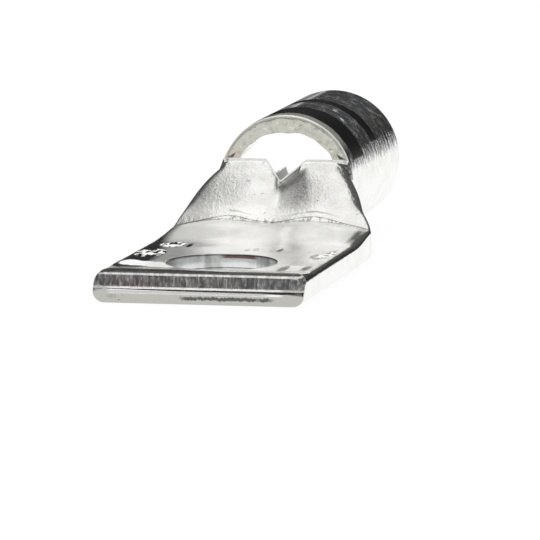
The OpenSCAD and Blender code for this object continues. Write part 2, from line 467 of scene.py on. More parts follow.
def front_face(x, z):
    """Sheared front: a roll-over round the outline x, z, then straight rays in to the slit."""
    into_x, into_z = outline_normals(x, z)
    drop, back = front_roll(x, z)
    turn = np.radians(np.linspace(0, 90, 15))[:, None]
    inset = drop * (1 - np.cos(turn))
    roll_x, roll_z = x + into_x * inset, z + into_z * inset
    roll_y = back * (1 - np.sin(turn)) + front_lean(roll_x, roll_z)
    # The first row stays the skin's own edge
    roll_y[0] = back + front_lean(x, z)
    slit_x = mix(SLIT_LEFT, SLIT_RIGHT, (x + PALM_W / 2) / PALM_W)
    end_z = slit_z(slit_x) + SLIT_GAP / 2 * (2 * z / PALM_T - 1)
    ray = np.concatenate([np.linspace(0.1, 0.8, 8), [0.86, 0.9, 0.93, 0.955, 0.975, 0.99, 1]])[:, None]
    ray_x, ray_z = mix(roll_x[-1], slit_x, ray), mix(roll_z[-1], end_z, ray)
    from_slit = np.hypot(roll_x[-1] - slit_x, roll_z[-1] - end_z) * (1 - ray)
    lower = 1 - smooth((z - 0.9) / 1.2)
    ray_y = front_lean(ray_x, ray_z) + edge_roll(from_slit, SLIT_LIP) * lower
    patch(np.concatenate([roll_x, ray_x]), Y_FRONT + np.concatenate([roll_y, ray_y]),
          np.concatenate([roll_z, ray_z]), closed=True, flip=True, cut=True)
    deep = np.array([0, 0.3, SLIT_DEEP])[:, None]
    patch(slit_x, Y_FRONT + ray_y[-1] + deep, end_z, closed=True, flip=True, cut=True)
    cap(slit_x, Y_FRONT + ray_y[-1] + SLIT_DEEP, end_z, flip=True)


def stud_hole():
    """One grid of rings from the top's square over the rim, down the wall and out below.

    Each ring's points lie on the same rays from the centre, at the ring's own radius and height,
    and the first and last rings reach out to the square.
    """
    side = FLAT_HALF * np.linspace(-Q_BORE, Q_BORE, 2 * TOP_MID_N + 1)
    along = np.linspace(-SQUARE, SQUARE, HOLE_ROWS + 1)
    far_side, far_along = SQUARE + 0 * side[:-1], SQUARE + 0 * along[:-1]
    square_x = np.concatenate([side[:-1], far_along, side[:0:-1], -far_along])
    square_y = np.concatenate([-far_side, along[:-1], far_side, along[:0:-1]])
    size = np.hypot(square_x, square_y)
    unit_x, unit_y = square_x / size, square_y / size
    angle = np.arctan2(unit_y, unit_x)
    share = (np.linspace(0, 1, 9) ** 0.8)[:, None]
    reach = mix(size, HOLE_R + RIM_R, share)
    turn = np.radians(np.linspace(0, 90, 7))[1:, None]
    seam = PALM_T - WALL
    torn = 0.025 * ripple(6 * angle, 2 * np.sin(angle), (1.1, 1.9, 3.1), 31)
    even = 0 * size
    rings = [(reach, np.full_like(reach, PALM_T)),
             (HOLE_R + RIM_R * (1 - np.sin(turn)) + even, PALM_T - RIM_R * (1 - np.cos(turn)) + even)]
    upper = np.linspace(PALM_T - RIM_R, seam, 9)[1:, None]
    tear = np.clip((PALM_T - TEAR_FROM - upper) / TEAR_LEN, 0, 1)
    rings.append((HOLE_R + tear * (TEAR_STEP + torn), upper + even))
    for step, z in ((SEAM_DEEP, seam), (SEAM_DEEP, WALL), (LOWER_STEP, WALL)):
        rings.append((HOLE_R + step + even[None, :], z + even[None, :]))
    lower = np.linspace(WALL, 0.1, 6)[1:, None]
    rings.append((HOLE_R + LOWER_STEP + even + 0 * lower, lower + even))
    out = np.linspace(0, 1, 7)[1:, None]
    rings.append((mix(HOLE_R + EXIT_STEP, size, out ** 1.1), even + 0 * out))
    r, z = np.concatenate([ring[0] for ring in rings]), np.concatenate([ring[1] for ring in rings])
    x, y = r * unit_x, r * unit_y
    # The top's relief carries on up to the rim and dies out down the wall
    z = z + relief(x, y, x / FLAT_HALF) * smooth((z - 2.2) / 1.0)
    walls = len(rings[0][0]) + 2
    patch(x[:walls], y[:walls], z[:walls], closed=True)
    patch(x[walls - 1:], y[walls - 1:], z[walls - 1:], closed=True, cut=True)


def arch_angles(tip):
    """Angles over the top from the left tip to the right one, in radians."""
    return np.radians(np.linspace(180 - tip, tip, ARCH_N + 1))


def from_tips():
    """Share of the arch's full form at each of its columns, 0 at both tips."""
    column = np.arange(ARCH_N + 1)
    return smooth(np.minimum(column, ARCH_N - column) / TIP_FADE_N)


def arch_lip(angle):
    """How far the sheared arch's inner edge is dragged down into the bore: a bell plus waves."""
    wavy = 0.05 * np.sin(9 * angle) + 0.03 * np.sin(17 * angle + 1)
    return (ARCH_LIP * bell(np.degrees(angle) - LIP_MID_DEG, LIP_SPREAD_DEG) + wavy) * from_tips()


def barrel():
    """Barrel: a circle carried back from the window, and its rear face.

    The arch sinks a little towards the window. The rear face is a quarter-round edge, a flat
    ring and the entry chamfer.
    """
    rows = np.concatenate([
        Y_WINDOW + np.array([0, 0.08, 0.2, 0.4, 0.7, 1.1]),
        np.linspace(Y_WINDOW + 1.5, Y_END - 1, 84), Y_END - np.array([0.6, 0.25])])
    y = rows[:, None]
    cup_x, cup_z = cup(y, 0, UNDER)
    arch = arch_angles(TIP_DEG)[1:-1]
    fade = from_tips()[1:-1]
    arch_r = BARREL_R - ARCH_FALL * bell(y - Y_WINDOW, 0.9) * fade
    arch_x = arch_r * np.cos(arch)
    arch_z = BARREL_R + arch_r * np.sin(arch)
    arch_y = y + ARCH_R * fade * (1 - smooth((y - Y_WINDOW) / 1.3))
    x, z = np.concatenate([cup_x, arch_x], axis=1), np.concatenate([cup_z, arch_z], axis=1)
    y = np.concatenate([y + 0 * cup_x, arch_y], axis=1)
    patch(x, y, z, closed=True)

    inner = bore_angles()
    inner_x, inner_z = np.roll(np.cos(inner), BORE_SIDE_N), np.roll(np.sin(inner), BORE_SIDE_N)
    outer_x, outer_z = x[-1] / BARREL_R, (z[-1] - BARREL_R) / BARREL_R
    turn = np.radians(np.linspace(0, 90, 6))
    steps = np.linspace(0, 1, 7)[1:]
    r = np.concatenate([
        BARREL_R - REAR_EDGE_R * (1 - np.cos(turn)),
        mix(BARREL_R - REAR_EDGE_R, BORE_R + ENTRY_CHAMFER, steps), [BORE_R]])[:, None]
    back = np.concatenate([REAR_EDGE_R * (1 - np.sin(turn)), 0 * steps, [ENTRY_CHAMFER]])[:, None]
    share = np.concatenate([0 * turn, steps, [1]])[:, None]
    dir_x, dir_z = mix(outer_x, inner_x, share), mix(outer_z, inner_z, share)
    size = np.hypot(dir_x, dir_z)
    patch(r * dir_x / size, Y_END - back, BARREL_R + r * dir_z / size, closed=True, cut=True)


def bore_angles():
    """Angles of the bore's columns in radians: cup, left side, arch and right side."""
    cup_x, cup_z = cup(np.array([[Y_WINDOW]]), WALL, UNDER_IN)
    cup_angle = np.arctan2(cup_z[0] - BARREL_R, cup_x[0])
    side = np.radians(np.linspace(INNER_TIP_DEG, BORE_TIP_DEG, BORE_SIDE_N + 1))[1:-1]
    return np.concatenate([cup_angle, np.pi - side, arch_angles(BORE_TIP_DEG), side[::-1]])


def bore():
    """Bore: a circle carried to the entry chamfer, less the arch's lip, which dies out along Y."""
    rows = np.concatenate([
        Y_WINDOW + np.array([0, 0.15, 0.35, 0.6, 1.0, 1.6]),
        np.linspace(Y_WINDOW + 3, Y_END - ENTRY_CHAMFER, 12)])[:, None]
    angle = bore_angles()
    lip = np.zeros(len(angle))
    start = CUP_IN_N + BORE_SIDE_N - 1
    arch = slice(start, start + ARCH_N + 1)
    lip[arch] = arch_lip(angle[arch])
    r = BORE_R - lip * np.exp(-(rows - Y_WINDOW) / 0.5) * (rows < Y_END - 1)
    x, z = r * np.cos(angle), BARREL_R + r * np.sin(angle)
    # The first row follows the pressed edge up to its burr
    down = np.arange(BORE_SIDE_N + 1) / BORE_SIDE_N
    z[0, start - BORE_SIDE_N + 1:start + 1] += burr(-Q_BORE) * (1 - down)[-2::-1]
    z[0, arch.stop - 1:] += burr(Q_BORE) * (1 - down)[:-1]
    patch(x, rows, z, closed=True, flip=True)


def arch_face():
    """Sheared face of the arch: a quarter-round edge, then straight rays in to the bore's lip."""
    outer, inner, fade = arch_angles(TIP_DEG), arch_angles(BORE_TIP_DEG), from_tips()
    turn = np.radians(np.linspace(0, 90, 6))[:, None]
    roll = ARCH_R * fade
    roll_r = BARREL_R - ARCH_FALL * fade - roll * (1 - np.cos(turn))
    roll_y = Y_WINDOW + roll * (1 - np.sin(turn))
    inner_r = BORE_R - arch_lip(inner)
    share = np.linspace(0, 1, TOP_SIDE_N + 1)[1:, None]
    out_x, out_z = roll_r[-1] * np.cos(outer), roll_r[-1] * np.sin(outer)
    face_x = mix(out_x, inner_r * np.cos(inner), share)
    face_z = mix(out_z, inner_r * np.sin(inner), share)
    rough = 0.02 * ripple(face_x, 2 * face_z, (1.7, 2.6, 4.1), 41)
    face_y = Y_WINDOW + rough * 4 * share * (1 - share) * fade
    x = np.concatenate([roll_r * np.cos(outer), face_x])
    z = BARREL_R + np.concatenate([roll_r * np.sin(outer), face_z])
    # Both ends of the face stand on the burr
    for end in (0, ARCH_N):
        z[:, end] += burr(x[:, end] / (BARREL_R * np.cos(np.radians(TIP_DEG))))
    patch(x, np.concatenate([roll_y, face_y]), z, flip=True, cut=True)


def free_edge(skin_x, skin_z):
    """Edge of the pressed ply at the window: rays from its outer skin's last row to its inner skin.

    Towards both ends they bulge, so that the ends follow the bore's circle.
    """
    middle = slice(CUP_N - 1 + TOP_SIDE_N, CUP_N + TOP_SIDE_N + 2 * TOP_MID_N)
    top_x, top_zs = skin_x[-1, middle], skin_z[-1, middle]
    share = np.linspace(-1, 1, 2 * TOP_MID_N + 1)
    tip = np.radians(INNER_TIP_DEG)
    tip_x, tip_z = BORE_R * np.cos(tip), BARREL_R + BORE_R * np.sin(tip)
    y = np.array([[Y_WINDOW]])
    low_x = tip_x * share
    low_z = top_z(low_x[None, :], tip_x, tip_z, y, WALL)[0]
    low_z[[0, -1]] = tip_z
    down = np.linspace(0, 1, BORE_SIDE_N + 1)[:, None]
    side = np.radians(mix(BORE_TIP_DEG, INNER_TIP_DEG, down))
    bulge_x = BORE_R * np.cos(side) - mix(top_x[-1], tip_x, down)
    bulge_z = BARREL_R + BORE_R * np.sin(side) - mix(top_zs[-1] - burr(Q_BORE), tip_z, down)
    weight = np.abs(share) ** 4
    patch(mix(top_x, low_x, down) + bulge_x * weight * np.sign(share), y,
          mix(top_zs, low_z, down) + bulge_z * weight, cut=True)


def cavity():
    """Inner skin of the neck: the same sections one wall further in, where the plies part."""
    rows = np.concatenate([np.linspace(12.5, Y_CREASE - 0.5, 12), np.linspace(Y_CREASE, Y_WINDOW, 24)])
    y = rows[:, None]
    x, z = loops(y, WALL, UNDER_IN, np.linspace(-1, 1, 2 * TOP_MID_N + 1))
    patch(x, y, z, closed=True, flip=True)
    cap(x[0], rows[0], z[0])


def dished(grid):
    """Presses the palm thinner: heights shrink by a share that swells between front and crease."""
    x, y, z = grid.T
    along = mix(DISH_AT_FRONT, 1, smooth((y - DISH_START) / (DISH_FULL - DISH_START)))
    along = along * (1 - smooth((y - DISH_EASE) / (DISH_END - DISH_EASE)))
    return np.stack([x, y, z * (1 - along * (DISH + DISH_TILT * x / (PALM_W / 2)))], axis=1)


def weld():
    """Joins the patches at their shared edges into one closed mesh, in metres."""
    points, faces, cuts, count = [], [], [], 0
    for grid, quads, cut in patches:
        points.append(dished(grid))
        faces += (np.asarray(quads) + count).tolist()
        cuts += [cut] * len(quads)
        count += len(grid)
    mesh = bpy.data.meshes.new("lug_shell")
    mesh.from_pydata((np.concatenate(points) / 1000).tolist(), [], faces)
    mesh.polygons.foreach_set("material_index", np.array(cuts, dtype=np.int32))
    work = bmesh.new()
    work.from_mesh(mesh)
    bmesh.ops.remove_doubles(work, verts=work.verts, dist=WELD_DISTANCE)
    work.to_mesh(mesh)
    work.free()
    mesh.polygons.foreach_set("use_smooth", np.ones(len(mesh.polygons), bool))
    mesh.set_sharp_from_angle(angle=np.radians(SHARP_DEG))
    return mesh


def linked(name, data):
    """A new object of some data, linked into the scene."""
    made = bpy.data.objects.new(name, data)
    bpy.context.scene.collection.objects.link(made)
    return made


def lug_shell():
    """The whole lug as one piece that stands for the CAD node."""
    skin_x, skin_z = outer_skin()
    front_face(skin_x[0], skin_z[0])
    stud_hole()
    arch_face()
    free_edge(skin_x, skin_z)
    barrel()
    bore()
    cavity()
    return linked("lug_shell", weld())


shell = lug_shell()
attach(shell, "root")
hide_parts("lug")


class Wire:
    """Output of a shader node. Plain arithmetic on it adds Math nodes to its tree."""

    def __init__(self, tree, socket):
        self.tree = tree
        self.socket = socket

    def out(self, name):
        """Another output of the same node, by name or number."""
        return Wire(self.tree, self.socket.node.outputs[name])

    def __add__(self, other):
        return maths(self.tree, "ADD", self, other)

    def __sub__(self, other):
        return maths(self.tree, "SUBTRACT", self, other)

    def __rsub__(self, other):
        return maths(self.tree, "SUBTRACT", other, self)

    def __mul__(self, other):
        return maths(self.tree, "MULTIPLY", self, other)

    def __pow__(self, power):
        return maths(self.tree, "POWER", self, power)

    def __abs__(self):
        return maths(self.tree, "ABSOLUTE", self)


def feed(node, links):
    """Gives inputs of a node, by name or number, a value or a wire."""
    for name, value in links.items():
        if isinstance(value, Wire):
            value.tree.links.new(value.socket, node.inputs[name])
        else:
            node.inputs[name].default_value = value


def add(tree, kind, links=None, **settings):
    """Adds a node with its settings and inputs, and returns its first output as a wire."""
    node = tree.nodes.new(kind)
    for name, value in settings.items():
        setattr(node, name, value)
    feed(node, links or {})
    return Wire(tree, node.outputs[0])


def maths(tree, operation, a, b=0.0):
    """A Math node on two values or wires."""
    return add(tree, "ShaderNodeMath", {0: a, 1: b}, operation=operation)


def either(first, *others):
    """The largest of several masks."""
    for other in others:
        first = maths(first.tree, "MAXIMUM", first, other)
    return first


def distance(a, b):
    """Root of the sum of two squares."""
    return maths(a.tree, "SQRT", a ** 2 + b ** 2)


def rise(value, low, high, start=0.0, end=1.0):
    """Eased ramp from start, at and below low, to end, at and above high."""
    links = {"Value": value, "From Min": low, "From Max": high, "To Min": start, "To Max": end}
    return add(value.tree, "ShaderNodeMapRange", links, interpolation_type="SMOOTHSTEP")


def fall(value, low, high):
    """Eased ramp from 1 down to 0."""
    return rise(value, low, high, 1.0, 0.0)


def between(value, low, high, soft):
    """1 inside a range and 0 outside it, with soft ends."""
    return rise(value, low - soft, low + soft) * fall(value, high - soft, high + soft)


def around(value, soft=0.05):
    """The two ends of a narrow ramp."""
    return value - soft, value + soft


def dome(a, b, radius):
    """Round hump from 1 at its centre to 0 at its radius, on two offsets from the centre."""
    return fall(distance(a, b), radius * 0.35, radius)


def oval(x, y, mid_x, mid_y, half_x, half_y):
    """1 inside an oval and 0 outside it, by the sum of the squared shares of its half sizes."""
    return fall(((x - mid_x) * (1 / half_x)) ** 2 + ((y - mid_y) * (1 / half_y)) ** 2, 0.8, 1.2)


def flat(a, b):
    """Vector of two wires, for a pattern that follows only them."""
    return add(a.tree, "ShaderNodeCombineXYZ", {0: a, 1: b, 2: 0.0})


def noise(place, scale, detail=3.0, rough=0.5, stretch=(1, 1, 1), offset=(0, 0, 0)):
    """Noise in millimetres: scale is waves per millimetre and stretch shortens them along an axis."""
    moved = add(place.tree, "ShaderNodeMapping", {"Vector": place, "Scale": stretch, "Location": offset})
    return add(place.tree, "ShaderNodeTexNoise", {
        "Vector": moved, "Scale": scale, "Detail": detail, "Roughness": rough})


def blend(factor, a, b):
    """Mix of two colours by a factor. Each is a wire or red, green and blue."""
    a, b = [colour if isinstance(colour, Wire) else (*colour, 1) for colour in (a, b)]
    # A colour mix has its two colours at inputs 6 and 7 and its result at output 2
    return add(factor.tree, "ShaderNodeMix", {0: factor, 6: a, 7: b}, data_type="RGBA").out(2)


def layered(colour, layers):
    """Lays colours over one another in order, each by its own mask."""
    for mask, tint in layers:
        colour = blend(mask, colour, tint)
    return colour


def group(name, inputs, outputs):
    """An empty shader group with named sockets, and its two end nodes."""
    tree = bpy.data.node_groups.new(name, "ShaderNodeTree")
    for label, kind, value in inputs:
        socket = tree.interface.new_socket(label, in_out="INPUT", socket_type=kind)
        if value is not None:
            socket.default_value = value
    for label, kind in outputs:
        tree.interface.new_socket(label, in_out="OUTPUT", socket_type=kind)
    return tree, tree.nodes.new("NodeGroupInput"), tree.nodes.new("NodeGroupOutput")


def use(tree, made, links):
    """Places a group in a material and returns its first output."""
    return add(tree, "ShaderNodeGroup", links, node_tree=made)


def millimetres():
    """Group: the object's own place, in millimetres."""
    tree, _, end = group("millimetres", [], [("Place", "NodeSocketVector")])
    place = add(tree, "ShaderNodeTexCoord").out("Object")
    feed(end, {"Place": add(tree, "ShaderNodeVectorMath", {0: place, "Scale": 1000.0}, operation="SCALE")})
    return tree


def handling():
    """Group: fine knocks, specks and a soft mottle that a tumbled, plated part carries."""
    tree, start, end = group(
        "handling",
        [("Place", "NodeSocketVector", None), ("Grain", "NodeSocketFloat", 1.0)],
        [("Height", "NodeSocketFloat"), ("Mottle", "NodeSocketFloat"), ("Specks", "NodeSocketFloat")])
    place, grain = Wire(tree, start.outputs["Place"]), Wire(tree, start.outputs["Grain"])
    coarse = noise(place, 0.5, detail=2)
    fine = noise(place, 4.0, detail=2, rough=0.6)
    specks = rise(noise(place, 1.7, detail=2, offset=(7, 3, 1)), 0.7, 0.76)
    feed(end, {"Height": coarse * 0.3 + fine * grain * 0.08 - specks * 0.2,
               "Mottle": coarse, "Specks": specks})
    return tree


MILLIMETRES = millimetres()
HANDLING = handling()

# Colours of the tin
TIN = (0.93, 0.925, 0.905)
TIN_WARM = (0.88, 0.875, 0.83)
TIN_CUT = (0.6, 0.6, 0.53)
TIN_BLUE = (0.78, 0.84, 0.95)
TIN_DULL = (0.36, 0.36, 0.28)
# Painted dark reflection for the barrel's upper left
TIN_DARK_REFLECTION = (0.1, 0.1, 0.11)
# Colours of the marks on the plated skin
INK = (0.008, 0.007, 0.009)
# Painted shade in two lines along the crease
CREASE_SHADE_BLACK = (0.08, 0.08, 0.08)
# Painted shade along the burr at the window
BURR_SHADE_GREY = (0.42, 0.42, 0.38)
# Black of the dark knocks, and of the painted shade beside the bright facet
KNOCK_AND_SHADE_BLACK = (0.03, 0.03, 0.03)
# Black of torn spots on the cut faces, and of the painted dark reflection between the palm's flecks
TORN_AND_REFLECTION_BLACK = (0.05, 0.05, 0.05)
# Painted light: the bore's inside is whiter than the tin
BORE_PAINTED_LIGHT = (1.0, 1.0, 0.99)
# Painted glints on the barrel
PAINTED_GLINT_WHITE = (0.95, 0.95, 0.97)
# Colours of the cut faces
HOLE_GREY = (0.82, 0.83, 0.84)
PILLAR_GREY = (0.5, 0.51, 0.5)
LOWER_GREY = (0.5, 0.5, 0.46)
STREAK_GREY = (0.45, 0.44, 0.46)
# Painted shade along the front's rolled top edge
ROLL_SHADE_GREY = (0.13, 0.12, 0.1)
MOTTLE_GREY = (0.33, 0.34, 0.3)
# Painted highlight along the arch's rim
RIM_HIGHLIGHT_WHITE = (0.95, 0.95, 0.9)
COPPER = (0.62, 0.40, 0.36)
COPPER_PINK = (0.66, 0.52, 0.47)
COPPER_DARK = (0.2, 0.09, 0.07)

# Ink bands round the barrel: start and end along Y, and the angle at which each one stops
BANDS = ((28.8, 33.7, 18.0), (38.1, 40.7, 23.5))
BAND_BACK_DEG = 168.0
# End along Y of the dull strip between the arch and the first band
STRIP_END = 29.2
# Plain punched bars on the palm: low and high along X, then along Y, and their depth
BARS = ((0.45, 0.7, 7.5, 8.3), (1.25, 1.5, 8.0, 9.0))
BAR_DEPTH = 1.04
# Bright facet on the palm's right: low and high along X, then along Y
NUB = (7.35, 8.65, -4.3, -1.0)
# A longer facet beside the hole: low and high along X, low and high of Y plus a share of X
LONG_FACET = (-9.6, -3.9, -5.9, -3.3, 0.28)
# Patches of small punched flecks, with a painted dark reflection on the ground between them: centre
# and half sizes along X and Y
FLECKED = ((-8.4, 4.4, 1.5, 2.5), (-7.5, 9.9, 1.3, 1.4), (8.5, 5.2, 0.85, 1.9), (9.2, 7.6, 0.6, 1.6))
# Dark knocks on the palm, and painted shade either side of the bright facet: centre along X and Y,
# and half width. They are drawn out along Y.
KNOCKS_AND_SHADE = ((6.95, -3.3, 0.65), (9.1, -2.3, 0.55), (3.8, 8.55, 0.36), (-5.75, 9.6, 0.4))
KNOCK_AND_SHADE_DRAWN = 4.0
# Way that the pressed facets face, which mirrors the light overhead to the camera
FACET_NORMAL = (0.1, -0.76, 0.642)
# Half width in which the burr shows as a bright line, and the two bright fields below it: their
# middle and how far from it they start and end
BURR_HALF_W = 6.5
FIELDS_MID, FIELDS_START, FIELDS_END = -0.4, 2.0, 5.7
# Bright left side of the V: low and high along X, and its start along Y
VEE_X = (-2.3, -0.8)
VEE_START = 24.5
# Dots of painted glint on the barrel: along Y, angle and radius
BARREL_DOTS = ((36.85, 88.0, 0.5), (36.4, 65.0, 0.55), (34.6, 54.0, 0.45), (34.4, 35.0, 0.35))
MM_PER_DEG = float(np.radians(BARREL_R))
# Torn corners at the arch's feet: tip along X and Z, and how steeply both sides leave it
TORN_TIP_X, TORN_TIP_Z = 5.29, 10.06
TORN_UNDER, TORN_OVER = 0.54, 0.57
# Torn band and its spots on the lower ply's front, and the copper strip in the hole: low and
# high along X, then along Z
TORN_BAND = (-1.6, 7.3, 0.46, 0.78)
TORN_SPOTS = (-9.2, -7.6, 0.45, 0.85)
COPPER_STRIP = (-1.3, 2.3, 2.35, 2.72)
# Depth in metres of one unit of bump height
BUMP_DEPTH = 0.00008


class Site:
    """Where a point of the surface lies, in millimetres and degrees, and on which stretch."""

    def __init__(self, tree):
        self.place = use(tree, MILLIMETRES, {})
        parts = add(tree, "ShaderNodeSeparateXYZ", {0: self.place})
        self.x, self.y, self.z = [parts.out(axis) for axis in "XYZ"]
        from_axis = self.z - BARREL_R
        turn = maths(tree, "ARCTAN2", from_axis, self.x)
        self.degrees = turn * float(np.degrees(1))
        self.radius = distance(self.x, from_axis)
        # The barrel unrolled: millimetres round it and along it
        self.wrapped = flat(turn * BARREL_R, self.y)
        on_barrel = rise(self.y, Y_WINDOW - 0.6, Y_WINDOW + 0.6)
        skin = rise(self.radius, BARREL_R - 0.6, BARREL_R - 0.4)
        self.outside = on_barrel * skin
        self.inside = on_barrel * (1 - skin)
        self.on_palm = fall(self.y, Y_CREASE - 2.0, Y_CREASE)
        self.on_neck = rise(self.y, Y_CREASE - 2.0, Y_CREASE) * (1 - on_barrel)
        # The palm's top, without its sides and underside
        self.on_top = rise(self.z, 2.2, 2.6)


def start_material(name):
    """A material with only its output, and the tree that it is built in."""
    material = bpy.data.materials.new(name)
    material.use_nodes = True
    tree = material.node_tree
    tree.nodes.clear()
    return material, tree, tree.nodes.new("ShaderNodeOutputMaterial")


def ink_bands(at):
    """1 under the ink. Each band has rough edges and ends, and worn spots."""
    ragged = noise(at.wrapped, 0.8, detail=4, rough=0.6, stretch=(0.5, 1.6, 1), offset=(3, 9, 2))
    shift = (ragged - 0.5) * 0.9
    y, degrees = at.y + shift, at.degrees + shift * 6.0
    bands = [between(y, start, stop, 0.1) * rise(degrees, stop_deg - 1.2, stop_deg + 1.2)
             for start, stop, stop_deg in BANDS]
    worn = rise(noise(at.place, 1.3, detail=5, rough=0.7, offset=(1, 5, 8)), 0.28, 0.36, 0.7, 1.0)
    return either(*bands) * fall(degrees, BAND_BACK_DEG - 2, BAND_BACK_DEG + 2) * at.outside * worn


def satin_palm(at, ovals):
    """How satin the palm's middle is, up to the crease and outside the flecked ovals."""
    edge_x = at.x + rise(at.y, 0.0, 18.0) * 2.6
    area = rise(edge_x, -7.6, -6.2) * fall(at.x, 8.9, 9.5) * rise(at.z, 2.3, 2.7)
    area = area * rise(at.y, -8.0, -6.5) * fall(at.y, Y_CREASE - 0.4, Y_CREASE + 0.1)
    return area * (1 - ovals) * rise(at.y, 10.5, 13.0, 0.52, 0.85)


def scuffs_and_crease_shade(at):
    """Short scuffs that the die left beside the crease, and two lines of painted shade along the crease
    over both lobes.
    """
    hatch = noise(at.place, 1.0, detail=2, stretch=(4.4, 0.3, 0.3), offset=(5, 1, 3))
    where = noise(at.place, 0.32, detail=1, offset=(8, 2, 2))
    scuffs = between(at.y, Y_CREASE - 1.3, Y_CREASE + 0.5, 0.4) * rise(hatch, 0.52, 0.62)
    lobes = between(at.x, -6.0, -3.0, 2.0) + between(at.x, 2.0, 6.0, 2.0)
    bowed = at.y - lobes * 0.5 + (hatch - 0.5) * 0.25
    first = between(bowed, Y_CREASE + 0.03, Y_CREASE + 0.16, 0.06) * rise(hatch, 0.35, 0.5, 0.35, 0.85)
    second = between(bowed, Y_CREASE + 0.7, Y_CREASE + 0.85, 0.1) * lobes * rise(where, 0.35, 0.5) * 0.8
    return scuffs * rise(where, 0.42, 0.55), either(first, second) * rise(at.z, 2.9, 3.1)


def drawn_lines(at):
    """Height of rings round the barrel, brush lines across the palm, streaks up the neck and grain."""
    rings = noise(at.wrapped, 1.0, rough=0.6, stretch=(0.35, 1.5, 1))
    across = noise(at.place, 1.0, detail=4, rough=0.6, stretch=(0.3, 3.0, 1.0))
    streaks = noise(at.place, 1.0, rough=0.6, stretch=(2.6, 0.4, 0.8))
    grain = noise(at.place, 3.2, rough=0.7, offset=(3, 3, 8))
    return (rings * at.outside * rise(at.degrees, -15.0, 5.0, 0.5, 1.5) + across * at.on_palm * 0.12
            + streaks * at.on_neck * 0.16 + grain * (at.on_neck * 0.45 + at.on_palm * 0.1))


def flecks(at):
    """1 on each small fleck of a pattern over the whole palm, and 0 between them."""
    spots = noise(flat(at.x, at.y), 1.5, detail=2, rough=0.6, stretch=(1, 0.5, 1), offset=(3, 5, 0))
    return rise(spots, 0.47, 0.53)


def facets(at, spots):
    """1 on the facets pressed into the palm and on the neck's bright fields, and 0 elsewhere."""
    wavy = noise(flat(at.x, at.y), 0.9, detail=2) - 0.5
    x0, x1, y0, y1, lean = LONG_FACET
    long = between(at.x, x0, x1, 0.8) * between(at.y + at.x * lean + wavy * 1.5, y0, y1, 0.8)
    x0, x1, y0, y1 = NUB
    nub = between(at.x + wavy * 0.6, x0, x1, 0.12) * between(at.y + wavy * 1.2, y0, y1, 0.3)
    # The burr along the window's edge is one too, and so are two fields below it and the V's left
    ahead = fall(at.y, Y_WINDOW, Y_WINDOW + 0.02)
    edge = rise(at.y, Y_WINDOW - 0.17, Y_WINDOW - 0.13)
    edge = edge * fall(abs(at.x), BURR_HALF_W - 0.05, BURR_HALF_W + 0.1)
    away = abs(at.x - FIELDS_MID)
    fields = rise(at.y, Y_WINDOW - 1.6, Y_WINDOW - 0.5)
    fields = fields * rise(away, FIELDS_START - 0.3, FIELDS_START + 0.2)
    fields = fields * fall(away, FIELDS_END - 0.5, FIELDS_END + 0.5)
    vee = between(at.x, *VEE_X, 0.3) * rise(at.y, VEE_START - 0.5, VEE_START + 0.5) * 0.7
    neck = either(edge * ahead, fields * ahead, vee) * rise(at.z, 5.0, 5.5)
    return either(either(long, nub, spots) * at.on_top, neck)


def painted_glints(at):
    """1 on the dots of painted glint on the barrel, broken up by a fine noise."""
    dots = [dome(at.y - dot_y, (at.degrees - dot_deg) * MM_PER_DEG, dot_r)
            for dot_y, dot_deg, dot_r in BARREL_DOTS]
    broken = noise(at.wrapped, 2.4, detail=2, rough=0.6, offset=(4, 2, 7))
    return either(*dots) * at.outside * rise(broken, 0.47, 0.53)


